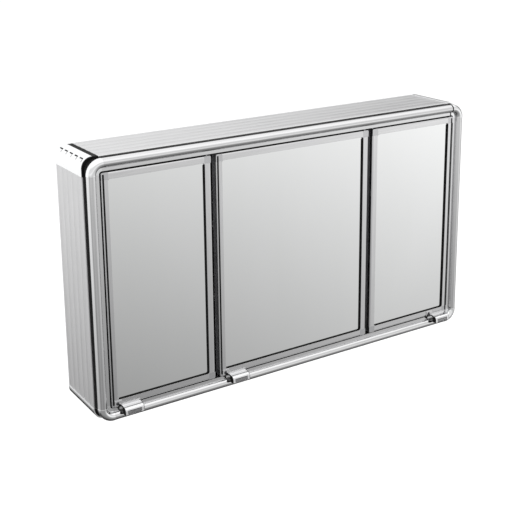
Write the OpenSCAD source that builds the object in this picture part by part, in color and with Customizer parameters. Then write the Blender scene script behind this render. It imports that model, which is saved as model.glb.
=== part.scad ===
// Three-door mirrored medicine cabinet of aluminium extrusions with chromed corners.
// The origin is the centre of the rear face. +X is to the right of someone who faces the
// doors, +Y points into the wall and +Z is up. Lengths are in millimetres.
// "Inset" is a distance inward from an outer face of the body, and "reach" is a distance
// out from the wall, so a point with reach r lies at Y = -r.

/* [Body] */
// Width over the side panels
body_w = 750; // [720:10:800]
// Height over the top and bottom panels
body_h = 428; // [410:2:480]
// Depth of the four outer panels, out from the wall
panel_d = 100; // [96:1:120]
// Thickness of the four outer panels
panel_t = 9; // [9:0.5:10]
// Number of shallow flutes along each outer panel
flute_count = 5; // [4:1:6]
// Height of each flute's crown above its valleys
flute_sag = 0.5; // [0.3:0.1:0.6]

/* [Corner caps] */
// Outer radius of the chromed corner caps
cap_r = 17; // [15:1:17]
// Length of the top left cap's arm along the top, from the body's outer face
cap_arm_top = 17.5; // [17:0.5:20]
// Where the top panel begins at that corner, beyond a black strip beside the cap
strip_end = 28; // [25:0.5:30]
// Length of the top left cap's arm down the side
cap_arm_side = 29.5; // [25:0.5:32]
// Length of both arms of the other three caps
cap_arm_short = 18.5; // [18:0.5:24]
// How far the caps stand proud of the panels
cap_proud = 0.8; // [0.5:0.1:1]

/* [Front frame] */
// Depth of the black recess between the panels and the front frame
recess_d = 14.5; // [11:0.5:15]
// Radius of the half-round bead
bead_r = 7; // [6.5:0.1:7]
// Inset of the inner edge of the frame's flat lip
lip_edge = 20.2; // [20:0.1:20.4]
// Radius of the bend of the corner elbows, at the body's outer faces
elbow_bend = 25; // [24:0.5:25.5]
// Length of an elbow from the body's outer face to its seam
elbow_arm = 25.5; // [25.5:0.5:27]
// How far the elbows stand proud of the bead
elbow_proud = 0.3; // [0.2:0.1:0.6]
// Width of the black ring between the top rail and the right elbow
ring_w = 2.5; // [1.5:0.5:3]

/* [Doors] */
// Width of each of the two side doors
side_door_w = 189; // [180:0.5:200]
// Clear gap between two neighbouring doors
door_gap = 9.5; // [8.5:0.5:10]
// Clear gap between a door and the front frame
door_play = 2; // [1.5:0.5:2]
// Width of the face of a door's frame
bar_w = 11; // [11:0.5:12]
// Depth of a door's frame, front to back
door_t = 13; // [13:0.5:13.5]
// How far the mirror lies behind the face of the door's frame
mirror_sunk = 3; // [2.5:0.5:3]
// Thickness of the mirror glass
glass_t = 3; // [2.5:0.5:3]
// Radius of the hinge pins
pin_r = 1.75; // [1.5:0.25:1.75]
// Radial play of a hinge pin in its bush
pin_play = 0.06; // [0.04:0.01:0.08]

/* [Pulls] */
// Width of the ledge that a finger pulls
pull_w = 32; // [28:1:34]
// Width of the screwed tab to the left of the ledge
tab_w = 12.5; // [11:0.5:13]
// How far the pull stands out from the door's face
pull_out = 14.5; // [13:0.5:15]

/* [Inside] */
// Height of the lower shelves' top faces above the middle of the cabinet
shelf_low_z = -62; // [-80:1:-50]
// Height of the upper shelves' top faces above the middle of the cabinet
shelf_high_z = 66; // [50:1:80]
// Thickness of the back panel
back_t = 3; // [2:0.5:4]

/* [Wall fixing] */
// Distance of the wall screws from the middle, left and right
screw_x = 290; // [260:5:300]
// Distance of the wall screws from the middle, up and down
screw_z = 150; // [140:5:155]
// Radius of the holes for the wall screws
screw_r = 3; // [2.5:0.5:3.5]

/* [Hidden] */
$fn = 96;
cut = 1;                                   // overshoot of every cutting shape

half_w = body_w / 2;
half_h = body_h / 2;

// Outer panels
panel_skin = 1.6;                          // wall of the hollow extrusion
flange_t = 3;                              // flange that frames the opening behind the doors
panel_edge = 2;                            // plain land beside the first and last flute
flute_w = (panel_d - 2 * panel_edge) / flute_count;
flute_steps = 6;                           // flats that make up one flute's crown
rib_t = 2;                                 // rib between two of the panel's chambers
tenon_slack = 0.2;
tenon_l = 14;

// Corner caps
cap_t = 2;                                 // sheet thickness
cap_over = 0.5;                            // cap's front edge beyond the panels' front edge
cap_slot_at = 5;                           // inset of the slots in the top left cap
cap_slot_w = 2;
cap_slot_l = 12;
cap_tick_w = 5;                            // short cross slot at the front end of each slot
cap_tick_l = 1.4;
strip_sunk = 0.3;                          // how far the black strip lies below the panel

// Front frame
bead_at = bead_r + 0.5;                    // inset of the bead's centre
lip_t = 3;                                 // thickness of the frame's front plate
rail_back = panel_d + recess_d;            // reach of the back of that plate
lip_face = rail_back + lip_t;              // reach of its face
web_t = 2.5;                               // web that carries the frame on the panels
port_r = 3.5;                              // hollow core of the bead
groove_w = 0.5;                            // fine groove between the bead and the lip
seal_in = 3;                               // inset of the black strips in the recess
seal_t = 6;
ring_sunk = 0.4;                           // how far the black ring lies below the bead

// Doors
door_edge = lip_edge + door_play;          // inset of the doors' outer edges
door_front = lip_face + 2;                 // reach of the doors' faces
door_back = door_front - door_t;
door_bottom = -half_h + door_edge;
door_top = half_h - door_edge;
tube_w = 8.5;                              // hollow part of a door bar
tube_skin = 1.6;
tube_front = 2.6;                          // front wall of that hollow part
glass_in = tube_w + 0.3;                   // inset of the glass from the door's edge
board_t = 3;                               // backing board
lip_back = mirror_sunk + glass_t + board_t;
bead_round = 2.5;                          // rounding of the bar's outer front edge
joint_w = bar_w + 0.8;                     // side of a corner joint, up to its seams
fillet_r = 4;                              // fillet inside a corner joint
gasket_t = 1.5;
gasket_low_t = 0.6;                        // its thinner leg along the bottom of the glass
edge_strip_at = 1.8;                       // from the free edge to the black strip beside it
edge_strip_w = 3;
edge_strip_t = 1.6;
edge_strip_end = 3;                        // plain length above and below that strip
pin_in = tube_w / 2;                       // inset of the hinge pin from the door's edge
pin_reach = door_front - door_t / 2;
bush_r = 3.5;
bush_flange_r = 4.4;
bush_flange_t = 0.8;
bush_start = 15.5;                         // inset of the buried end of a bush
pin_depth = 15;                            // length of a hinge pin inside the door

// The gap centres, the dividers and the three doors.
// A door is [left edge, right edge, hinge axis, left end of the pull's ledge].
gap_x = half_w - door_edge - side_door_w - door_gap / 2;
middle_half = gap_x - door_gap / 2;
door_left = [-half_w + door_edge, -gap_x - door_gap / 2,
             -gap_x - door_gap / 2 - pin_in, -half_w + door_edge + 17];
door_middle = [-middle_half, middle_half, middle_half - pin_in, -middle_half + 17];
door_right = [gap_x + door_gap / 2, half_w - door_edge,
              gap_x + door_gap / 2 + pin_in, half_w - door_edge - 6 - pull_w];
doors = [door_left, door_middle, door_right];

// Pulls
pull_t = 1.8;
pull_bend = 5;                             // outer radius over the front of the ledge
pull_top = door_bottom + 1;                // top of the ledge at the door
pull_low = -half_h + 9.5;                  // lower end of the front lip
tab_t = 1.4;
plate_top = 3.5;                           // top of the plate behind the ledge, above the door's edge
tab_h = 9;
pull_screw_z = door_bottom + 5.4;
pull_screw_in = 5;                         // from the tab's left end to its screw
pull_screw_r = 1.2;
pull_screw_l = 4;                          // length of the screw inside the door
pull_screw_head = 2.8;
badge_w = 24;                              // blank recess on the front of the pull
badge_h = 7;
badge_deep = 0.5;

// Inside
divider_t = 3;
divider_reach = panel_d - flange_t;
mullion_w = 10;
mullion_t = 3.5;
shelf_t = 4;
shelf_gap = 0.5;                           // play between a shelf and its walls
shelf_back = 4.5;                          // reach of a shelf's rear edge
shelf_front = 93;                          // reach of a shelf's front edge
shelf_lip = 9;                             // height of a shelf's front lip
shelf_lip_t = 2.5;
bracket_l = 10;
bracket_w = 12;
bracket_t = 2;
bracket_inset = 12;                        // from a shelf's edge to the middle of a bracket
catch_h = 34;
catch_w = 20;
nose_w = 7;
striker_t = 0.5;
hanger_size = 36;
hanger_t = 2;

// ---------------------------------------------------------------- placing helpers

// Extrudes a section drawn as (x, reach) from height z0 to z1.
module upright(z0, z1) {
  translate([0, 0, z0])
    linear_extrude(z1 - z0)
      mirror([0, 1])
        children();
}

// Extrudes a section drawn as (reach, z) from x0 to x1.
module lengthwise(x0, x1) {
  translate([x1, 0, 0])
    rotate([90, 0, -90])
      linear_extrude(x1 - x0)
        children();
}

// Extrudes a shape drawn as (x, z) from reach r0 to reach r1.
module outward(r0, r1) {
  rotate([90, 0, 0])
    translate([0, 0, r0])
      linear_extrude(r1 - r0)
        children();
}

// Swaps the two axes of a section.
module swapped() {
  mirror([1, -1])
    children();
}

// The next four run a section drawn as (inset, reach) along one side of the body.
module along_left(z0, z1) {
  upright(z0, z1)
    translate([-half_w, 0])
      children();
}

module along_right(z0, z1) {
  mirror([1, 0, 0])
    along_left(z0, z1)
      children();
}

module along_bottom(x0, x1) {
  lengthwise(x0, x1)
    translate([0, -half_h])
      swapped()
        children();
}

module along_top(x0, x1) {
  mirror([0, 0, 1])
    along_bottom(x0, x1)
      children();
}

// Puts a part drawn for the bottom left corner, with its tip at the origin, at a corner.
module at_corner(right, top) {
  mirror([right ? 1 : 0, 0, 0])
    mirror([0, 0, top ? 1 : 0])
      translate([-half_w, 0, -half_h])
        children();
}

// A rectangle whose corner at the origin is rounded to radius r.
module rounded_corner(r, size) {
  intersection() {
    translate([r, r])
      circle(r);
    square(r);
  }
  translate([r, 0])
    square([size[0] - r, size[1]]);
  translate([0, r])
    square([size[0], size[1] - r]);
}

// A rectangle of w by h whose corners have radius r.
module rounded_rect(w, h, r) {
  translate([r, 0])
    square([w - 2 * r, h]);
  translate([0, r])
    square([w, h - 2 * r]);
  for (x = [r, w - r], y = [r, h - r])
    translate([x, y])
      circle(r);
}

// ---------------------------------------------------------------- outer panels

// Points of the fluted outer face, from the wall to the front.
function flute_points() = [
  for (k = [0 : flute_count - 1], j = [0 : flute_steps - (k < flute_count - 1 ? 1 : 0)])
    [flute_sag * pow(2 * j / flute_steps - 1, 2), panel_edge + (k + j / flute_steps) * flute_w]
];

// Reach of the middle of flute k.
function flute_mid(k) = panel_edge + (k + 0.5) * flute_w;

module panel_section() {
  difference() {
    polygon(concat(
      [[0, 0]],
      flute_points(),
      [[0, panel_d - 1], [1, panel_d], [panel_t, panel_d], [panel_t, 0]]
    ));
    for (k = [0 : flute_count - 1])
      translate([panel_skin, panel_edge + k * flute_w + rib_t / 2])
        square([panel_t - 2 * panel_skin, flute_w - rib_t]);
  }
}

module flange_section() {
  translate([panel_t - cut, panel_d - flange_t])
    square([lip_edge - panel_t + cut, flange_t]);
}

module panel_left() {
  color("gainsboro") {
    along_left(-half_h + cap_arm_short, half_h - cap_arm_side)
      panel_section();
    along_left(-half_h + flange_arm(cap_arm_short), half_h - flange_arm(cap_arm_side))
      flange_section();
  }
}

module panel_right() {
  color("gainsboro") {
    along_right(-half_h + cap_arm_short, half_h - cap_arm_short)
      panel_section();
    along_right(-half_h + flange_arm(cap_arm_short), half_h - flange_arm(cap_arm_short))
      flange_section();
  }
}

module panel_top() {
  color("gainsboro") {
    along_top(-half_w + strip_end, half_w - cap_arm_short)
      panel_section();
    along_top(-half_w + flange_arm(strip_end), half_w - flange_arm(cap_arm_short))
      flange_section();
  }
}

module panel_bottom() {
  color("gainsboro") {
    along_bottom(-half_w + cap_arm_short, half_w - cap_arm_short)
      panel_section();
    along_bottom(-half_w + flange_arm(cap_arm_short), half_w - flange_arm(cap_arm_short))
      flange_section();
  }
}

// ---------------------------------------------------------------- corners of the body

// Arms of the cap at one corner: along the top or bottom, and along the side.
function cap_arms(right, top) =
  top && !right ? [cap_arm_top, cap_arm_side] : [cap_arm_short, cap_arm_short];

// Where the two panels begin at one corner.
function panel_starts(right, top) =
  top && !right ? [strip_end, cap_arm_side] : [cap_arm_short, cap_arm_short];

// Where the flange behind the doors begins, clear of its neighbour at the corner.
function flange_arm(arm) = max(arm, lip_edge + 0.3);

// Where the top or bottom rail begins at one corner.
function rail_start(right, top) = elbow_arm + (right && top ? ring_w : 0);

// Chromed sheet cap that wraps one corner of the body over its whole depth.
module corner_cap(right, top) {
  arms = cap_arms(right, top);
  inner = cap_t - cap_proud;
  color("whitesmoke")
    at_corner(right, top)
      difference() {
        outward(0, panel_d + cap_over)
          difference() {
            translate([-cap_proud, -cap_proud])
              rounded_corner(cap_r + cap_proud, arms + [cap_proud, cap_proud]);
            translate([inner, inner])
              rounded_corner(cap_r - inner, arms);
          }
        if (top && !right)
          for (k = [0 : flute_count - 1])
            translate([cap_slot_at, -flute_mid(k), -cut])
              cap_slot();
      }
}

// One of the slots in the top left cap, with its short cross slot.
module cap_slot() {
  translate([0, -cap_slot_l / 2, 0])
    cube([cap_slot_w, cap_slot_l, cap_r / 2]);
  translate([cap_slot_w - cap_tick_w, -cap_slot_l / 2, 0])
    cube([cap_tick_w, cap_tick_l, cap_r]);
}

// Black moulding inside a corner: it carries the cap, plugs into the panels' chambers and
// fills the corner of the recess behind the elbow.
module corner_connector(right, top) {
  arms = cap_arms(right, top);
  starts = panel_starts(right, top);
  flanges = [flange_arm(starts[0]), flange_arm(starts[1])];
  skin = cap_t - cap_proud;
  tenon = [panel_t - 2 * panel_skin - 2 * tenon_slack, flute_w - rib_t - 2 * tenon_slack];
  at_corner(right, top) {
    outward(1, panel_d)
      difference() {
        union() {
          translate([skin, skin])
            rounded_corner(cap_r - skin, arms - [skin, skin]);
          if (starts[0] > arms[0])
            translate([arms[0], strip_sunk])
              square([starts[0] - arms[0], panel_t]);
        }
        translate([panel_t, panel_t])
          square(max(starts));
      }
    outward(panel_d - flange_t, panel_d)
      difference() {
        translate([panel_t, panel_t])
          square(flanges - [panel_t, panel_t]);
        translate([lip_edge, lip_edge])
          square(max(flanges));
      }
    outward(panel_d, rail_back)
      difference() {
        translate([seal_in, seal_in])
          rounded_corner(cap_r, [rail_start(right, top) - seal_in, elbow_arm - seal_in]);
        translate([lip_edge - web_t, lip_edge - web_t])
          square(elbow_arm);
      }
    if (rail_start(right, top) > elbow_arm)
      lengthwise(elbow_arm, rail_start(right, top))
        swapped()
          rail_section(-ring_sunk);
    for (k = [0 : flute_count - 1]) {
      low = panel_edge + k * flute_w + rib_t / 2 + tenon_slack;
      translate([0, 0, starts[1] - cut])
        linear_extrude(tenon_l + cut)
          mirror([0, 1])
            translate([panel_skin + tenon_slack, low])
              square(tenon);
      lengthwise(starts[0] - cut, starts[0] + tenon_l)
        swapped()
          translate([panel_skin + tenon_slack, low])
            square(tenon);
    }
  }
}

module corner_connectors() {
  color("black")
    for (right = [false, true], top = [false, true])
      corner_connector(right, top);
}

// ---------------------------------------------------------------- front frame

// Half-round bead with its flat lip and the web behind it, as (inset, reach).
module rail_section(proud) {
  difference() {
    translate([bead_at, lip_face])
      circle(bead_r + proud);
    translate([bead_at - 2 * bead_r, lip_face - 2 * bead_r - cut])
      square([4 * bead_r, 2 * bead_r + cut]);
  }
  translate([bead_at - bead_r - proud, rail_back])
    square([2 * (bead_r + proud), lip_t]);
  translate([bead_at, rail_back])
    square([bead_r + proud + groove_w, lip_t - groove_w]);
  translate([bead_at + bead_r + proud + groove_w, rail_back])
    square([lip_edge - bead_at - bead_r - proud - groove_w, lip_t]);
  translate([lip_edge - web_t, panel_d])
    square([web_t, recess_d + cut]);
}

// The same section with the bead's hollow core.
module hollow_rail_section() {
  difference() {
    rail_section(0);
    translate([bead_at, lip_face])
      circle(port_r);
  }
}

// Holes in the top or bottom rail for the hinge bushes.
module bush_holes() {
  for (door = doors)
    translate([door[2], -pin_reach, -half_h + bush_start])
      cylinder(r = bush_r, h = lip_edge - bush_start + cut);
}

module rail_left() {
  color("silver")
    along_left(-half_h + elbow_arm, half_h - elbow_arm)
      hollow_rail_section();
}

module rail_right() {
  color("silver")
    along_right(-half_h + elbow_arm, half_h - elbow_arm)
      hollow_rail_section();
}

module rail_bottom() {
  color("silver")
    difference() {
      along_bottom(-half_w + elbow_arm, half_w - elbow_arm)
        hollow_rail_section();
      bush_holes();
    }
}

module rail_top() {
  color("silver")
    difference() {
      along_top(-half_w + elbow_arm, half_w - rail_start(true, true))
        hollow_rail_section();
      mirror([0, 0, 1])
        bush_holes();
    }
}

// Bent corner piece of the front frame, slightly fatter than the straight bead.
module elbow(right, top) {
  color("whitesmoke")
    at_corner(right, top) {
      translate([elbow_bend, 0, elbow_bend])
        rotate([90, 0, 0])
          rotate([0, 0, 180])
            rotate_extrude(angle = 90)
              translate([elbow_bend, 0])
                mirror([1, 0])
                  rail_section(elbow_proud);
      upright(elbow_bend, elbow_arm)
        rail_section(elbow_proud);
      lengthwise(elbow_bend, elbow_arm)
        swapped()
          rail_section(elbow_proud);
    }
}

// Black strips that close the recess between the panels and the rails.
module seal_strips() {
  color("dimgray") {
    along_left(-half_h + elbow_arm, half_h - elbow_arm)
      seal_section();
    along_right(-half_h + elbow_arm, half_h - elbow_arm)
      seal_section();
    along_bottom(-half_w + elbow_arm, half_w - elbow_arm)
      seal_section();
    along_top(-half_w + elbow_arm, half_w - rail_start(true, true))
      seal_section();
  }
}

module seal_section() {
  translate([seal_in, panel_d])
    square([seal_t, recess_d]);
}

// ---------------------------------------------------------------- inside of the body

module wall_screw_places() {
  for (x = [-screw_x, screw_x], z = [-screw_z, screw_z])
    translate([x, z])
      children();
}

module back_panel() {
  color("white")
    outward(0, back_t)
      difference() {
        translate([-half_w + panel_t, -half_h + panel_t])
          square([body_w - 2 * panel_t, body_h - 2 * panel_t]);
        wall_screw_places()
          circle(screw_r);
      }
}

// Steel plates that spread the load of the four wall screws.
module hanger_plates() {
  color("lightsteelblue")
    outward(back_t, back_t + hanger_t)
      wall_screw_places()
        difference() {
          square(hanger_size, center = true);
          circle(screw_r);
        }
}

module divider(x) {
  color("white")
    upright(-half_h + panel_t, half_h - panel_t)
      translate([x - divider_t / 2, back_t])
        square([divider_t, divider_reach - back_t]);
}

// Dark edge profiles that stand in front of the dividers, seen between the doors.
module mullions() {
  color("gray")
    for (x = [-gap_x, gap_x])
      upright(-half_h + lip_edge, half_h - lip_edge)
        translate([x, 0]) {
          translate([-mullion_w / 2, panel_d])
            square([mullion_w, mullion_t]);
          translate([-divider_t / 2, divider_reach])
            square([divider_t, flange_t + cut]);
        }
}

// Section of a shelf as (reach, z), with its top face at height z.
module shelf_section(z) {
  translate([shelf_back, z - shelf_t])
    square([shelf_front - shelf_back, shelf_t]);
  translate([shelf_front - shelf_lip_t, z - shelf_t])
    square([shelf_lip_t, shelf_t + shelf_lip]);
}

// Edges of the three compartments between the side walls and the dividers.
bays = [
  [-half_w + panel_t, -gap_x - divider_t / 2],
  [-gap_x + divider_t / 2, gap_x - divider_t / 2],
  [gap_x + divider_t / 2, half_w - panel_t],
];

module shelves(bay) {
  color("white")
    for (z = [shelf_low_z, shelf_high_z])
      lengthwise(bay[0] + shelf_gap, bay[1] - shelf_gap)
        shelf_section(z);
}

// Angle bracket under a shelf, drawn on the left wall of a bay with its top at the origin.
module bracket() {
  translate([0, -bracket_w / 2, -bracket_t])
    cube([bracket_l, bracket_w, bracket_t]);
  translate([0, -bracket_w / 2, -bracket_l])
    cube([bracket_t, bracket_w, bracket_l]);
}

module shelf_brackets() {
  color("lightgray")
    for (bay = bays, z = [shelf_low_z, shelf_high_z])
      for (reach = [shelf_back + bracket_inset, shelf_front - bracket_inset]) {
        translate([bay[0], -reach, z - shelf_t])
          bracket();
        translate([bay[1], -reach, z - shelf_t])
          mirror([1, 0, 0])
            bracket();
      }
}

// Magnetic catch drawn on a wall at the origin, with its nose in front of a door's stile.
module catch_body(wall_to_nose) {
  outward(panel_d - flange_t - 10, panel_d - flange_t)
    translate([0, -catch_h / 2])
      square([wall_to_nose + nose_w, catch_h]);
  outward(panel_d - flange_t, door_back - striker_t - 0.2)
    translate([wall_to_nose, -catch_w / 2])
      square([nose_w, catch_w]);
}

module magnet_catches() {
  side_nose = door_edge + 0.8 - panel_t;
  middle_nose = door_gap / 2 + 0.9 - divider_t / 2;
  color("darkslategray") {
    for (side = [0, 1])
      mirror([side, 0, 0])
        translate([-half_w + panel_t, 0, 0])
          catch_body(side_nose);
    translate([-gap_x + divider_t / 2, 0, 0])
      catch_body(middle_nose);
  }
}

// Flanged bushes pressed into the top and bottom rails.
module hinge_bushes() {
  color("dimgray")
    for (door = doors, side = [0, 1])
      mirror([0, 0, side])
        translate([door[2], -pin_reach, -half_h])
          difference() {
            union() {
              translate([0, 0, bush_start])
                cylinder(r = bush_r, h = lip_edge - bush_start + bush_flange_t);
              translate([0, 0, lip_edge])
                cylinder(r = bush_flange_r, h = bush_flange_t);
            }
            translate([0, 0, bush_start - cut])
              cylinder(r = pin_r + pin_play, h = lip_edge - bush_start + bush_flange_t + 2 * cut);
          }
}

// ---------------------------------------------------------------- doors

// Whether a door is hinged at its right edge.
function hinge_right(door) = door[2] > (door[0] + door[1]) / 2;

// Outline of a door's frame as (inset from the door's edge, depth behind its face).
module bar_outline() {
  translate([bead_round, 0])
    square([bar_w - bead_round, mirror_sunk]);
  translate([bead_round, bead_round])
    circle(bead_round);
  translate([bead_round, 0])
    square([tube_w - bead_round, door_t]);
  translate([0, bead_round])
    square([tube_w, door_t - bead_round]);
  translate([tube_w - cut, lip_back])
    square([bar_w - tube_w + cut, 2]);
}

module bar_section() {
  difference() {
    bar_outline();
    translate([tube_skin, tube_front])
      square([tube_w - 2 * tube_skin, door_t - tube_front - tube_skin]);
  }
}

// Places a section drawn like the bar's at the left or right edge of a door.
module at_stile(door, right) {
  translate([door[right ? 1 : 0], door_front])
    mirror([right ? 1 : 0, 0])
      mirror([0, 1])
        children();
}

module door_stiles(door) {
  color("gainsboro")
    difference() {
      upright(door_bottom + joint_w, door_top - joint_w)
        for (right = [false, true])
          at_stile(door, right)
            bar_section();
      edge_strip_room(door);
    }
}

// Groove for the black strip beside the free edge.
module edge_strip_room(door) {
  upright(door_bottom + edge_strip_end, door_top - edge_strip_end)
    at_stile(door, !hinge_right(door))
      translate([edge_strip_at, -cut])
        square([edge_strip_w, edge_strip_t + cut]);
}

// Soft black strip let into the face of the free stile.
module door_edge_strip(door) {
  upright(door_bottom + edge_strip_end, door_top - edge_strip_end)
    at_stile(door, !hinge_right(door))
      intersection() {
        bar_outline();
        translate([edge_strip_at, 0])
          square([edge_strip_w, edge_strip_t]);
      }
}

// Height of a door's middle is zero, so the top rail mirrors the bottom one.
module door_rails(door) {
  color("gainsboro")
    for (side = [0, 1])
      mirror([0, 0, side])
        difference() {
          lengthwise(door[0] + joint_w, door[1] - joint_w)
            translate([door_front, door_bottom])
              mirror([1, 0])
                swapped()
                  bar_section();
          if (side == 0)
            pull_screw_hole(door);
        }
}

module pull_screw_hole(door) {
  translate([door[3] - tab_w + pull_screw_in, -door_front - tab_t - cut, pull_screw_z])
    rotate([-90, 0, 0])
      cylinder(r = pull_screw_r, h = cut + tab_t + pull_screw_l);
}

// One corner joint, drawn for a bottom left corner at the origin with reach kept.
module corner_joint(hinged) {
  skin = tube_skin + tenon_slack;
  front = tube_front + tenon_slack;
  tenon = [tube_w - 2 * skin, door_t - front - skin];
  difference() {
    union() {
      outward(door_front - mirror_sunk, door_front)
        joint_face();
      outward(door_back, door_front - mirror_sunk)
        difference() {
          rounded_corner(bead_round, [joint_w, joint_w]);
          translate([glass_in - 0.1, glass_in - 0.1])
            square(joint_w);
        }
      translate([skin, -door_front + front, joint_w - cut])
        cube([tenon[0], tenon[1], tenon_l + cut]);
      translate([joint_w - cut, -door_front + front, skin])
        cube([tenon_l + cut, tenon[1], tenon[0]]);
    }
    if (hinged)
      translate([pin_in, -pin_reach, -cut])
        cylinder(r = pin_r, h = pin_depth + cut);
  }
}

// Front plate of a corner joint: a square with a fillet over the corner of the glass.
module joint_face() {
  difference() {
    union() {
      rounded_corner(bead_round, [joint_w, joint_w]);
      translate([bar_w, bar_w])
        square(fillet_r);
    }
    translate([bar_w + fillet_r, bar_w + fillet_r])
      circle(fillet_r);
  }
}

module door_corner_joints(door) {
  color("lightgray")
    difference() {
      for (side = [0, 1])
        mirror([0, 0, side]) {
          translate([door[0], 0, door_bottom])
            corner_joint(!hinge_right(door));
          translate([door[1], 0, door_bottom])
            mirror([1, 0, 0])
              corner_joint(hinge_right(door));
        }
      edge_strip_room(door);
      pull_screw_hole(door);
    }
}

// A pane that fills the door's frame, between two depths behind its face.
module pane(door, t0, t1) {
  outward(door_front - t1, door_front - t0)
    translate([door[0] + glass_in, door_bottom + glass_in])
      square([door[1] - door[0] - 2 * glass_in, door_top - door_bottom - 2 * glass_in]);
}

module door_mirror(door) {
  color("lightblue")
    pane(door, mirror_sunk, mirror_sunk + glass_t);
}

module door_backing(door) {
  color("white")
    pane(door, mirror_sunk + glass_t, lip_back);
}

// Black glazing gasket along the bottom and the right of the glass.
module door_gasket(door) {
  w = door[1] - door[0] - 2 * bar_w;
  h = door_top - door_bottom - 2 * bar_w;
  outward(door_front - mirror_sunk, door_front - 0.3)
    translate([door[0] + bar_w, door_bottom + bar_w])
      difference() {
        rounded_rect(w, h, fillet_r);
        translate([gasket_t, gasket_low_t])
          rounded_rect(w - 2 * gasket_t, h - 2 * gasket_low_t, fillet_r - gasket_t);
        translate([-cut, -cut])
          square([fillet_r + cut, h + 2 * cut]);
        translate([-cut, h - fillet_r])
          square([w + 2 * cut, fillet_r + cut]);
      }
}

module door_seals(door) {
  color("black") {
    door_gasket(door);
    door_edge_strip(door);
  }
}

module door_hinge_pins(door) {
  color("silver")
    for (side = [0, 1])
      mirror([0, 0, side])
        translate([door[2], -pin_reach, -half_h + bush_start + 0.5])
          cylinder(r = pin_r, h = door_edge - bush_start - 0.5 + pin_depth);
}

// Points of a quarter arc from straight up to straight out, round (x, y).
function quarter(x, y, r) = [for (i = [0 : 8]) [x + r * sin(i * 11.25), y + r * cos(i * 11.25)]];

// Section of the pull as (reach, z): a ledge off the door's lower rail that bends down
// into a front lip, with air between the lip and the bead for a fingertip.
module pull_section() {
  front = door_front + pull_out;
  bend_x = front - pull_bend;
  bend_z = pull_top - 1.5 - pull_bend;
  inner = quarter(bend_x, bend_z, pull_bend - pull_t);
  polygon(concat(
    [[door_front, pull_top]],
    quarter(bend_x, bend_z, pull_bend),
    [[front + 0.5, pull_low + 1.5], [front - 0.8, pull_low], [front - pull_t, pull_low + 0.8]],
    [for (i = [8 : -1 : 0]) inner[i]],
    [[door_front, pull_top - pull_t - 0.4]]
  ));
}

module door_pull(door) {
  x0 = door[3];
  badge_z = (pull_low + pull_top) / 2 - 2;
  color("silver")
    difference() {
      union() {
        lengthwise(x0, x0 + pull_w)
          pull_section();
        translate([x0, -door_front - tab_t, pull_top - pull_t])
          cube([pull_w, tab_t, door_bottom + plate_top - pull_top + pull_t]);
        translate([x0 - tab_w, -door_front - tab_t, door_bottom + 0.9])
          cube([tab_w + pull_w, tab_t, plate_top - 0.9]);
        translate([x0 - tab_w, -door_front - tab_t, door_bottom + 0.9])
          cube([tab_w, tab_t, tab_h]);
      }
      translate([x0 + (pull_w - badge_w) / 2, -door_front - pull_out - cut, badge_z - badge_h / 2])
        cube([badge_w, badge_deep + cut, badge_h]);
      pull_screw_hole(door);
    }
}

module door_pull_screw(door) {
  translate([door[3] - tab_w + pull_screw_in, -door_front, pull_screw_z])
    rotate([90, 0, 0]) {
      color("silver")
        translate([0, 0, -pull_screw_l])
          cylinder(r = pull_screw_r, h = pull_screw_l + tab_t + 0.5);
      color("silver")
        translate([0, 0, tab_t])
          cylinder(r1 = pull_screw_head, r2 = pull_screw_head * 0.7, h = 1.1);
    }
}

// Steel plate on the back of the free stile, in front of the magnet's nose.
module door_striker(door) {
  x = hinge_right(door) ? door[0] + 1 : door[1] - 1 - nose_w;
  color("silver")
    outward(door_back - striker_t, door_back)
      translate([x, -catch_w / 2])
        square([nose_w, catch_w]);
}

// ---------------------------------------------------------------- the nodes

panel_left();
panel_right();
panel_top();
panel_bottom();
corner_cap(false, true);  // cap_top_left
corner_cap(true, true);  // cap_top_right
corner_cap(false, false);  // cap_bottom_left
corner_cap(true, false);  // cap_bottom_right
corner_connectors();
seal_strips();
rail_left();
rail_right();
rail_top();
rail_bottom();
elbow(false, true);  // elbow_top_left
elbow(true, true);  // elbow_top_right
elbow(false, false);  // elbow_bottom_left
elbow(true, false);  // elbow_bottom_right
back_panel();
hanger_plates();
divider(-gap_x);  // divider_left
divider(gap_x);  // divider_right
mullions();
shelves(bays[0]);  // shelves_left
shelves(bays[1]);  // shelves_middle
shelves(bays[2]);  // shelves_right
shelf_brackets();
magnet_catches();
hinge_bushes();
door_stiles(door_left);  // door_left_stiles
door_rails(door_left);  // door_left_rails
door_corner_joints(door_left);  // door_left_corner_joints
door_mirror(door_left);  // door_left_mirror
door_backing(door_left);  // door_left_backing
door_seals(door_left);  // door_left_seals
door_hinge_pins(door_left);  // door_left_hinge_pins
door_pull(door_left);  // door_left_pull
door_pull_screw(door_left);  // door_left_pull_screw
door_striker(door_left);  // door_left_striker
door_stiles(door_middle);  // door_middle_stiles
door_rails(door_middle);  // door_middle_rails
door_corner_joints(door_middle);  // door_middle_corner_joints
door_mirror(door_middle);  // door_middle_mirror
door_backing(door_middle);  // door_middle_backing
door_seals(door_middle);  // door_middle_seals
door_hinge_pins(door_middle);  // door_middle_hinge_pins
door_pull(door_middle);  // door_middle_pull
door_pull_screw(door_middle);  // door_middle_pull_screw
door_striker(door_middle);  // door_middle_striker
door_stiles(door_right);  // door_right_stiles
door_rails(door_right);  // door_right_rails
door_corner_joints(door_right);  // door_right_corner_joints
door_mirror(door_right);  // door_right_mirror
door_backing(door_right);  // door_right_backing
door_seals(door_right);  // door_right_seals
door_hinge_pins(door_right);  // door_right_hinge_pins
door_pull(door_right);  // door_right_pull
door_pull_screw(door_right);  // door_right_pull_screw
door_striker(door_right);  // door_right_striker
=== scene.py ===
"""Looks of a three-door mirrored medicine cabinet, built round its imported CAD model.

The frame is the CAD's: metres, origin at the centre of the rear face, the doors face -Y.
"""
import math

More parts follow.
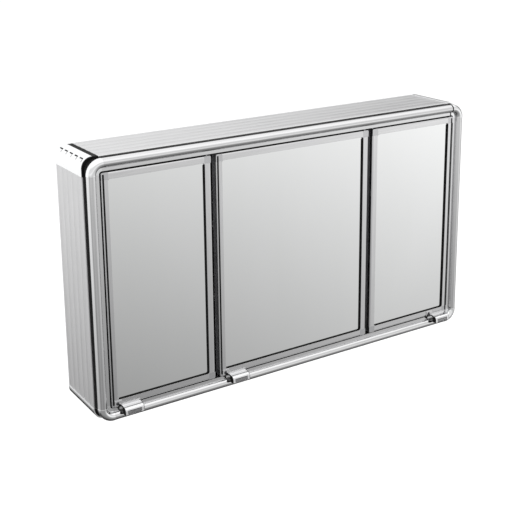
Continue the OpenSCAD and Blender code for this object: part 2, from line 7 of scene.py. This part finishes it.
import bpy
from mathutils import Matrix, Vector


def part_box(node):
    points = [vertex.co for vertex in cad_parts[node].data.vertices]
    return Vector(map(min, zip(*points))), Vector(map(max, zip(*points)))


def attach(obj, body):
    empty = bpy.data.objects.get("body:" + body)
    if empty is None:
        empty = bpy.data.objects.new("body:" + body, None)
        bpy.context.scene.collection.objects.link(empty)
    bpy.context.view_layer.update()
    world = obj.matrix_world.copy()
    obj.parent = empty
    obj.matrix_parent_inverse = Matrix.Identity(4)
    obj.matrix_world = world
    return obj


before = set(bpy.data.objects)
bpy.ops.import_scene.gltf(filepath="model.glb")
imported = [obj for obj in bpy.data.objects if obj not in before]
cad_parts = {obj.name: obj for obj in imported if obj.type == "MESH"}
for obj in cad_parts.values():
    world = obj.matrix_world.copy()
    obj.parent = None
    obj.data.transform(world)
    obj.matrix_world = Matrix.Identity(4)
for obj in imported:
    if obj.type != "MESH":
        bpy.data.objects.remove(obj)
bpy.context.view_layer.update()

MM = 0.001
DOOR_BODY = {"left": "left_door", "middle": "middle_door", "right": "right_door"}
EVEN = (1, 1, 1)                           # a texture scale that is the same on each axis


# ---------------------------------------------------------------- camera

CAMERA_AT = Vector((-0.9564, -1.4971, 0.5904))
CAMERA_YAW = math.radians(32.78)
CAMERA_PITCH = math.radians(14.18)
CAMERA_ROLL = math.radians(-0.51)
CAMERA_LENS = 71.37
CAMERA_SENSOR = 36
CAMERA_SHIFT_Y = -0.2
CAMERA_RANGE = (0.01, 100)


def add_camera():
    """The camera stands to the left of the cabinet and a little above it."""
    ahead = Vector((
        math.sin(CAMERA_YAW) * math.cos(CAMERA_PITCH),
        math.cos(CAMERA_YAW) * math.cos(CAMERA_PITCH),
        -math.sin(CAMERA_PITCH),
    ))
    level = ahead.cross(Vector((0, 0, 1))).normalized()
    upward = level.cross(ahead)
    side = level * math.cos(CAMERA_ROLL) + upward * math.sin(CAMERA_ROLL)
    up = upward * math.cos(CAMERA_ROLL) - level * math.sin(CAMERA_ROLL)
    data = bpy.data.cameras.new("camera")
    data.sensor_width = CAMERA_SENSOR
    data.lens = CAMERA_LENS
    data.shift_y = CAMERA_SHIFT_Y
    data.clip_start, data.clip_end = CAMERA_RANGE
    camera = bpy.data.objects.new("camera", data)
    bpy.context.scene.collection.objects.link(camera)
    turn = Matrix((side, up, -ahead)).transposed().to_4x4()
    camera.matrix_world = Matrix.Translation(CAMERA_AT) @ turn
    bpy.context.scene.camera = camera


# ---------------------------------------------------------------- node helpers
# In these functions n holds the nodes of a material and l their links.

NOISE_SPAN = (0.3, 0.7)                    # the values between which most of a noise lies
BEVEL_SAMPLES = 6


def new_material(name):
    material = bpy.data.materials.new(name)
    material.use_nodes = True
    tree = material.node_tree
    return material, tree.nodes, tree.links, tree.nodes["Principled BSDF"]


def scaled_position(n, l, scale):
    """Object coordinates stretched by scale, so that a texture follows the piece."""
    coordinates = n.new("ShaderNodeTexCoord")
    mapping = n.new("ShaderNodeMapping")
    mapping.inputs["Scale"].default_value = scale
    l.new(coordinates.outputs["Object"], mapping.inputs["Vector"])
    return mapping.outputs["Vector"]


def noise(n, l, stretch, scale, detail, roughness=0.5):
    texture = n.new("ShaderNodeTexNoise")
    texture.inputs["Scale"].default_value = scale
    texture.inputs["Detail"].default_value = detail
    texture.inputs["Roughness"].default_value = roughness
    l.new(scaled_position(n, l, stretch), texture.inputs["Vector"])
    return texture.outputs["Fac"]


def remap(n, l, value, low, high, at=NOISE_SPAN):
    """A number that goes from low to high while value goes through the span called at."""
    node = n.new("ShaderNodeMapRange")
    node.inputs["From Min"].default_value = at[0]
    node.inputs["From Max"].default_value = at[1]
    node.inputs["To Min"].default_value = low
    node.inputs["To Max"].default_value = high
    l.new(value, node.inputs["Value"])
    return node.outputs["Result"]


def tone(n, l, value, dark, light):
    """A colour that goes from dark to light while value goes through a noise's span."""
    ramp = n.new("ShaderNodeValToRGB")
    for stop, position, colour in zip(ramp.color_ramp.elements, NOISE_SPAN, (dark, light)):
        stop.position = position
        stop.color = (*colour, 1)
    l.new(value, ramp.inputs["Fac"])
    return ramp.outputs["Color"]


def bump(n, l, shader, height, strength, distance, edge=0.0):
    """Relief from a texture; edge is the radius to which sharp edges look rounded."""
    node = n.new("ShaderNodeBump")
    node.inputs["Strength"].default_value = strength
    node.inputs["Distance"].default_value = distance
    l.new(height, node.inputs["Height"])
    if edge:
        rounding = n.new("ShaderNodeBevel")
        rounding.samples = BEVEL_SAMPLES
        rounding.inputs["Radius"].default_value = edge
        l.new(rounding.outputs["Normal"], node.inputs["Normal"])
    l.new(node.outputs["Normal"], shader.inputs["Normal"])


# ---------------------------------------------------------------- materials

METAL_EDGE = 0.3 * MM                      # rounding of metal edges
METAL_RELIEF = 0.1 * MM                    # depth of brushing and of orange peel
PLASTIC_RELIEF = 0.2 * MM                  # depth of a moulded grain

# Texture scales, in waves for each metre.
BRUSHING = 900
BRUSHED_CLOUD = 12
PLATED_CLOUD = 30
ORANGE_PEEL = 500
MOULDED_CLOUD = 40
MOULDED_GRAIN = 900
GLASS_HAZE = 9

# Stretch of the brushing along the X or Z axis, as rolling or drawing leaves it.
ALONG_X = (0.02, 1, 1)
ALONG_Z = (1, 1, 0.02)


def brushed_metal(name, grain, dark, light, rough, relief=0.15):
    """Metal with fine lines along one axis and faint large-scale clouding."""
    material, n, l, shader = new_material(name)
    shader.inputs["Metallic"].default_value = 1.0
    fine = noise(n, l, grain, BRUSHING, 2.0, 0.6)
    l.new(tone(n, l, fine, dark, light), shader.inputs["Base Color"])
    cloud = noise(n, l, EVEN, BRUSHED_CLOUD, 4.0, 0.6)
    l.new(remap(n, l, cloud, *rough), shader.inputs["Roughness"])
    bump(n, l, shader, fine, relief, METAL_RELIEF, METAL_EDGE)
    return material


def polished_metal(name, colour, rough):
    """Bright plating whose gloss wanders slightly, with fine orange peel."""
    material, n, l, shader = new_material(name)
    shader.inputs["Metallic"].default_value = 1.0
    cloud = noise(n, l, EVEN, PLATED_CLOUD, 3.0)
    darker = tuple(c * 0.96 for c in colour)
    l.new(tone(n, l, cloud, darker, colour), shader.inputs["Base Color"])
    l.new(remap(n, l, cloud, *rough), shader.inputs["Roughness"])
    peel = noise(n, l, EVEN, ORANGE_PEEL, 1.0)
    bump(n, l, shader, peel, 0.03, METAL_RELIEF, METAL_EDGE)
    return material


def plastic(name, dark, light, rough, sheen=0.5):
    """Moulded plastic with a fine grained skin; sheen is how strongly it mirrors light."""
    material, n, l, shader = new_material(name)
    shader.inputs["Specular IOR Level"].default_value = sheen
    cloud = noise(n, l, EVEN, MOULDED_CLOUD, 4.0)
    l.new(tone(n, l, cloud, dark, light), shader.inputs["Base Color"])
    grain = noise(n, l, EVEN, MOULDED_GRAIN, 2.0)
    l.new(remap(n, l, grain, *rough), shader.inputs["Roughness"])
    bump(n, l, shader, grain, 0.15, PLASTIC_RELIEF)
    return material


def mirror_glass(name):
    """Silvered glass: near-perfect reflection with a faint tint and faint wiping haze."""
    material, n, l, shader = new_material(name)
    shader.inputs["Metallic"].default_value = 1.0
    haze = noise(n, l, (1, 1, 0.3), GLASS_HAZE, 5.0, 0.6)
    l.new(tone(n, l, haze, *GLASS_TONES), shader.inputs["Base Color"])
    l.new(remap(n, l, haze, *GLASS_ROUGH), shader.inputs["Roughness"])
    return material


# The darkest and lightest colour of each material that varies between two.
PANEL_TONES = ((0.63, 0.63, 0.635), (0.70, 0.70, 0.705))
FRAME_TONES = ((0.70, 0.70, 0.705), (0.78, 0.78, 0.785))
PULL_TONES = ((0.80, 0.80, 0.81), (0.93, 0.93, 0.935))
# Dark metal: the pull's plate has this tone, and on the mullions it is painted shade in the gaps
# between the doors.
PLATE_AND_GAP_SHADE_TONES = ((0.10, 0.10, 0.105), (0.16, 0.16, 0.165))
GREY_TONES = ((0.50, 0.505, 0.51), (0.56, 0.565, 0.57))
BLACK_TONES = ((0.004, 0.004, 0.004), (0.009, 0.009, 0.009))
WHITE_TONES = ((0.78, 0.78, 0.775), (0.84, 0.84, 0.835))
BOARD_TONES = ((0.66, 0.655, 0.64), (0.74, 0.735, 0.72))
GLASS_TONES = ((0.905, 0.915, 0.91), (0.925, 0.93, 0.93))
FLOOR_TONES = ((0.93, 0.93, 0.93), (0.95, 0.95, 0.95))

PANEL_ROUGH = (0.30, 0.38)
FRAME_ROUGH = (0.07, 0.11)
GLASS_ROUGH = (0.012, 0.03)

looks = {
    "panel_z": brushed_metal("panel_upright", ALONG_Z, *PANEL_TONES, PANEL_ROUGH),
    "panel_x": brushed_metal("panel_level", ALONG_X, *PANEL_TONES, PANEL_ROUGH),
    "frame_z": brushed_metal("frame_upright", ALONG_Z, *FRAME_TONES, FRAME_ROUGH, relief=0.06),
    "frame_x": brushed_metal("frame_level", ALONG_X, *FRAME_TONES, FRAME_ROUGH, relief=0.06),
    "pull": brushed_metal("pull_metal", ALONG_X, *PULL_TONES, (0.10, 0.16), relief=0.08),
    # Painted shade on the mullions in the gaps between the doors; the pull's plate is dark in
    # its own right.
    "dark_profile": brushed_metal("dark_profile", ALONG_Z, *PLATE_AND_GAP_SHADE_TONES, (0.3, 0.4)),
    "chrome": polished_metal("chrome", (0.90, 0.905, 0.91), (0.02, 0.05)),
    "joint_metal": polished_metal("joint_metal", (0.62, 0.62, 0.63), (0.16, 0.24)),
    "steel": polished_metal("zinc_steel", (0.70, 0.71, 0.73), (0.28, 0.38)),
    "dark_steel": polished_metal("dark_steel", (0.10, 0.10, 0.105), (0.25, 0.35)),
    "grey_plastic": plastic("grey_plastic", *GREY_TONES, (0.25, 0.38)),
    "black_plastic": plastic("black_plastic", *BLACK_TONES, (0.45, 0.6), sheen=0.06),
    # Black rubber for the doors' seals; on the pulls the same black is painted shade for their
    # open ends, the bend of the ledge and the screws' cross recesses.
    "black_rubber": plastic("black_rubber", *BLACK_TONES, (0.55, 0.75), sheen=0.05),
    "white_plastic": plastic("white_plastic", *WHITE_TONES, (0.30, 0.42)),
    "board": plastic("backing_board", *BOARD_TONES, (0.6, 0.8)),
    "mirror": mirror_glass("mirror_silvered"),
}

# The look of each node. A key that ends in _ stands for every node that starts with it, and
# one that starts with _ for the same part of every door.
NODE_LOOKS = {
    "panel_left": "panel_z", "panel_right": "panel_z",
    "panel_top": "panel_x", "panel_bottom": "panel_x",
    "rail_left": "frame_z", "rail_right": "frame_z",
    "rail_top": "frame_x", "rail_bottom": "frame_x",
    "cap_": "chrome", "elbow_": "chrome",
    "corner_connectors": "black_plastic", "seal_strips": "black_plastic",
    # The mullions are painted dark as shade in the gaps between the doors.
    "back_panel": "white_plastic", "hanger_plates": "steel",
    "divider_": "white_plastic", "mullions": "dark_profile",
    "shelves_": "white_plastic", "shelf_brackets": "grey_plastic",
    "magnet_catches": "black_plastic", "hinge_bushes": "black_plastic",
    "_stiles": "frame_z", "_rails": "frame_x",
    "_corner_joints": "joint_metal", "_mirror": "mirror",
    "_backing": "board", "_seals": "black_rubber",
    "_hinge_pins": "steel", "_pull": "pull",
    "_pull_screw": "dark_steel", "_striker": "steel",
}


def look_for(name):
    if name in NODE_LOOKS:
        return looks[NODE_LOOKS[name]]
    if name.startswith("door_"):
        part = name.split("_", 2)[2]
        return looks[NODE_LOOKS["_" + part]]
    start = next(key for key in NODE_LOOKS if key.endswith("_") and name.startswith(key))
    return looks[NODE_LOOKS[start]]


def dress_nodes():
    for name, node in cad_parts.items():
        node.data.materials.clear()
        node.data.materials.append(look_for(name))


# ---------------------------------------------------------------- small details
# Sizes are in mm. On a pull, a depth counts back from the foremost edge of its lip, and a
# height counts up from its foot.

SOFT_EDGE = 0.08                           # rounding of every small piece
SOFT_EDGE_STEPS = 2
PULL_TAB = 12.5                            # the tab takes this much of the pull's left end
END_SHADE_T = 0.8                                # thickness of the black plate painted as shade in a pull's open end
SHADE_LINE_DEPTHS = (6.0, 6.9)                   # painted shade line along the bend of the pull's ledge
SHADE_LINE_HEIGHTS = (11.8, 12.55)
PLATE_HALF_W = 11.6                        # blank plate on the pull's lip
PLATE_DEPTHS = (0.75, 1.05)
PLATE_HEIGHTS = (1.6, 7.6)
RIB_COUNT = 11                             # upright ribs on that plate
RIB_PITCH = 2.0
RIB_HALF_W = 0.45
RIB_DEPTHS = (0.55, 0.80)
RIB_HEIGHTS = (2.5, 6.7)
# The black cross on each pull's screw is painted shade for the screw's cross recess.
RECESS_ARM = 1.3                           # half length and half width of the cross in the
RECESS_HALF_W = 0.28                       # head of a pull's screw
RECESS_DEPTHS = (-0.02, 0.3)

# Outline of the black plate painted as shade in each open end of a pull: depth and height of
# each corner.
END_SHADE_OUTLINE = (
    (9.4, 0.6), (0.3, 1.2), (0.5, 7.2), (2.0, 10.7),
    (5.5, 12.2), (13.4, 13.4), (13.4, 11.2), (9.4, 10.2),
)


def add_piece(name, corners, faces, look, door):
    """A small piece with softened edges that moves with a door."""
    mesh = bpy.data.meshes.new(name)
    mesh.from_pydata(corners, [], faces)
    mesh.materials.append(looks[look])
    piece = bpy.data.objects.new(name, mesh)
    bpy.context.scene.collection.objects.link(piece)
    soft_edges = piece.modifiers.new("soft_edges", "BEVEL")
    soft_edges.width = SOFT_EDGE * MM
    soft_edges.segments = SOFT_EDGE_STEPS
    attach(piece, DOOR_BODY[door])


def add_block(name, xs, ys, zs, look, door):
    """A block between two values on each axis."""
    corners = [(x, y, z) for x in xs for y in ys for z in zs]
    faces = [(0, 1, 3, 2), (4, 6, 7, 5), (0, 4, 5, 1), (2, 3, 7, 6), (0, 2, 6, 4), (1, 5, 7, 3)]
    add_piece(name, corners, faces, look, door)


def add_end_shade_plate(name, xs, lip, foot, door):
    """Black plate that closes one end of a pull, between two values of x; it is painted shade
    for the pull's hollow inside.
    """
    count = len(END_SHADE_OUTLINE)
    corners = [
        (x, lip + depth * MM, foot + height * MM)
        for x in xs for depth, height in END_SHADE_OUTLINE
    ]
    faces = [(i, (i + 1) % count, count + (i + 1) % count, count + i) for i in range(count)]
    faces.append(tuple(reversed(range(count))))
    faces.append(tuple(range(count, 2 * count)))
    add_piece(name, corners, faces, "black_rubber", door)


def from_mm(start, offsets):
    """Two places on an axis, each an offset in mm from start."""
    return tuple(start + offset * MM for offset in offsets)


def add_pull_details(door):
    """Black plates at the ends and a black line along the ledge, painted shade for the pull's
    hollow and for the bend of its ledge, and a blank ribbed plate on the lip.
    """
    low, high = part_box(f"door_{door}_pull")
    left = low[0] + PULL_TAB * MM
    right = high[0]
    lip = low[1]
    foot = low[2]
    centre = (left + right) / 2
    add_end_shade_plate(f"{door}_pull_end_shade_left", from_mm(left, (-END_SHADE_T, 0)), lip, foot, door)
    add_end_shade_plate(f"{door}_pull_end_shade_right", from_mm(right, (0, END_SHADE_T)), lip, foot, door)
    # A black strip painted as the shade along the bend where the ledge turns down into the lip.
    add_block(
        f"{door}_pull_shade_line",
        (left, right),
        from_mm(lip, SHADE_LINE_DEPTHS),
        from_mm(foot, SHADE_LINE_HEIGHTS),
        "black_rubber", door,
    )
    add_block(
        f"{door}_pull_plate",
        from_mm(centre, (-PLATE_HALF_W, PLATE_HALF_W)),
        from_mm(lip, PLATE_DEPTHS),
        from_mm(foot, PLATE_HEIGHTS),
        "dark_profile", door,
    )
    for index in range(RIB_COUNT):
        middle = centre + (index - (RIB_COUNT - 1) / 2) * RIB_PITCH * MM
        add_block(
            f"{door}_pull_rib_{index + 1}",
            from_mm(middle, (-RIB_HALF_W, RIB_HALF_W)),
            from_mm(lip, RIB_DEPTHS),
            from_mm(foot, RIB_HEIGHTS),
            "pull", door,
        )


def add_screw_recess_shade(door):
    """A black cross on the head of the pull's screw, painted shade for its cross recess."""
    low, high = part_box(f"door_{door}_pull_screw")
    x = (low[0] + high[0]) / 2
    z = (low[2] + high[2]) / 2
    arms = {"level": (RECESS_ARM, RECESS_HALF_W), "upright": (RECESS_HALF_W, RECESS_ARM)}
    for name, (half_x, half_z) in arms.items():
        add_block(
            f"{door}_screw_{name}",
            from_mm(x, (-half_x, half_x)),
            from_mm(low[1], RECESS_DEPTHS),
            from_mm(z, (-half_z, half_z)),
            "black_rubber", door,
        )


# ---------------------------------------------------------------- studio
# Lengths are in metres. The dome's x, y and z are the parts of a direction of length 1.

FLOOR_Z = -0.9
FLOOR_SIZE = 60
FLOOR_CLOUD = 2
FLOOR_ROUGH = 0.9
WORLD_BRIGHTNESS = 1.15
KEY_LIGHT_AT = Vector((-1.2, -2.2, 2.4))
KEY_LIGHT_SIZE = 2.0
KEY_LIGHT_POWER = 20

DOME_RADIUS = 9.0
DOME_SEGMENTS = 48
DOME_RINGS = 24

# In front of the cabinet: a base, and how much each part of the direction adds.
FRONT_BASE = 2.27
FRONT_BY_Z = 1.78
FRONT_BY_Y = 1.08
FRONT_BY_X = 0.60
FRONT_Y_MOST = -0.70
FRONT_X_MOST = -0.30
FRONT_BRIGHTEST = 1.3
FRONT_DARKEST = 0.30
UNDER_DARKEST = 0.05                       # straight below the cabinet
UNDER_SPAN = (-1.0, -0.7)

# The greyer band above the horizon, and the spans of z where it starts and ends.
BAND_BRIGHTNESS = 0.8
BAND_START_SPAN = (-0.05, 0.10)
BAND_START_EXCESS = 0.25
BAND_END_SPAN = (0.45, 0.75)

# Behind the cabinet, likewise.
BACK_BASE = 1.00
BACK_BY_Z = 2.20
BACK_BY_X = -1.55
BACK_X_LEAST = -0.40
BACK_BRIGHTEST = 1.15
BACK_DARKEST = 0.06

FRONT_TO_BACK_SPAN = (-0.25, 0.15)         # of y


def emission_material(name):
    material = bpy.data.materials.new(name)
    material.use_nodes = True
    tree = material.node_tree
    tree.nodes.clear()
    output = tree.nodes.new("ShaderNodeOutputMaterial")
    glow = tree.nodes.new("ShaderNodeEmission")
    tree.links.new(glow.outputs["Emission"], output.inputs["Surface"])
    return material, tree.nodes, tree.links, glow


def feed(l, socket, value):
    """Sets a socket to a number, or links another node's output to it."""
    if isinstance(value, float):
        socket.default_value = value
    else:
        l.new(value, socket)


def weighted(n, l, value, weight, rest):
    """weight * value + rest."""
    node = n.new("ShaderNodeMath")
    node.operation = "MULTIPLY_ADD"
    for socket, term in zip(node.inputs, (value, weight, rest)):
        feed(l, socket, term)
    return node.outputs["Value"]


def extreme(n, l, operation, value, limit):
    """The smaller (MINIMUM) or larger (MAXIMUM) of value and limit."""
    node = n.new("ShaderNodeMath")
    node.operation = operation
    for socket, term in zip(node.inputs, (value, limit)):
        feed(l, socket, term)
    return node.outputs["Value"]


def front_brightness(n, l, x, y, z):
    """It fades downward and straight ahead, with a greyer band above the horizon."""
    fade = weighted(n, l, z, FRONT_BY_Z, FRONT_BASE)
    fade = weighted(n, l, extreme(n, l, "MINIMUM", y, FRONT_Y_MOST), FRONT_BY_Y, fade)
    fade = weighted(n, l, extreme(n, l, "MINIMUM", x, FRONT_X_MOST), FRONT_BY_X, fade)
    above_band = remap(n, l, z, BAND_BRIGHTNESS, FRONT_BRIGHTEST, at=BAND_END_SPAN)
    below_band = remap(n, l, z, BAND_START_EXCESS, 0.0, at=BAND_START_SPAN)
    brightest = weighted(n, l, below_band, 1.0, above_band)
    darkest = remap(n, l, z, UNDER_DARKEST, FRONT_DARKEST, at=UNDER_SPAN)
    return extreme(n, l, "MAXIMUM", extreme(n, l, "MINIMUM", fade, brightest), darkest)


def back_brightness(n, l, x, z):
    """It fades downward and to the right."""
    fade = weighted(n, l, z, BACK_BY_Z, BACK_BASE)
    fade = weighted(n, l, extreme(n, l, "MAXIMUM", x, BACK_X_LEAST), BACK_BY_X, fade)
    return extreme(n, l, "MAXIMUM", extreme(n, l, "MINIMUM", fade, BACK_BRIGHTEST), BACK_DARKEST)


def dome_brightness(n, l):
    """Brightness of the dome in each direction."""
    coordinates = n.new("ShaderNodeTexCoord")
    unit = n.new("ShaderNodeVectorMath")
    unit.operation = "NORMALIZE"
    l.new(coordinates.outputs["Object"], unit.inputs[0])
    split = n.new("ShaderNodeSeparateXYZ")
    l.new(unit.outputs["Vector"], split.inputs["Vector"])
    x, y, z = split.outputs["X"], split.outputs["Y"], split.outputs["Z"]
    mixed = n.new("ShaderNodeMix")
    l.new(remap(n, l, y, 0.0, 1.0, at=FRONT_TO_BACK_SPAN), mixed.inputs["Factor"])
    l.new(front_brightness(n, l, x, y, z), mixed.inputs["A"])
    l.new(back_brightness(n, l, x, z), mixed.inputs["B"])
    return mixed.outputs["Result"]


def add_dome():
    """A huge soft dome that only reflections see."""
    material, n, l, glow = emission_material("dome_light")
    glow.inputs["Color"].default_value = (1, 1, 1, 1)
    l.new(dome_brightness(n, l), glow.inputs["Strength"])
    bpy.ops.mesh.primitive_uv_sphere_add(
        segments=DOME_SEGMENTS, ring_count=DOME_RINGS, radius=DOME_RADIUS,
    )
    dome = bpy.context.object
    dome.name = "studio_dome"
    dome.data.materials.append(material)
    dome.visible_camera = False
    dome.visible_diffuse = False
    dome.visible_shadow = False


def add_floor():
    """A plain pale floor that reflections do not see."""
    material, n, l, shader = new_material("studio_floor")
    cloud = noise(n, l, EVEN, FLOOR_CLOUD, 2.0)
    l.new(tone(n, l, cloud, *FLOOR_TONES), shader.inputs["Base Color"])
    shader.inputs["Roughness"].default_value = FLOOR_ROUGH
    bpy.ops.mesh.primitive_plane_add(size=FLOOR_SIZE, location=(0, 0, FLOOR_Z))
    floor = bpy.context.object
    floor.name = "studio_floor"
    floor.data.materials.append(material)
    floor.visible_glossy = False


def add_world():
    world = bpy.data.worlds.new("studio")
    bpy.context.scene.world = world
    world.use_nodes = True
    background = world.node_tree.nodes["Background"]
    background.inputs["Color"].default_value = (1, 1, 1, 1)
    background.inputs["Strength"].default_value = WORLD_BRIGHTNESS


def add_key_light():
    """A softbox in front of the cabinet and above it, aimed at the origin."""
    light = bpy.data.lights.new("key_light", "AREA")
    light.energy = KEY_LIGHT_POWER
    light.size = KEY_LIGHT_SIZE
    lamp = bpy.data.objects.new("key_light", light)
    bpy.context.scene.collection.objects.link(lamp)
    lamp.location = KEY_LIGHT_AT
    lamp.rotation_euler = (-KEY_LIGHT_AT).to_track_quat("-Z", "Y").to_euler()
    lamp.visible_glossy = False


add_camera()
dress_nodes()
for door_name in DOOR_BODY:
    add_pull_details(door_name)
    add_screw_recess_shade(door_name)
add_world()
add_dome()
add_floor()
add_key_light()
bpy.context.scene.view_settings.view_transform = "Standard"
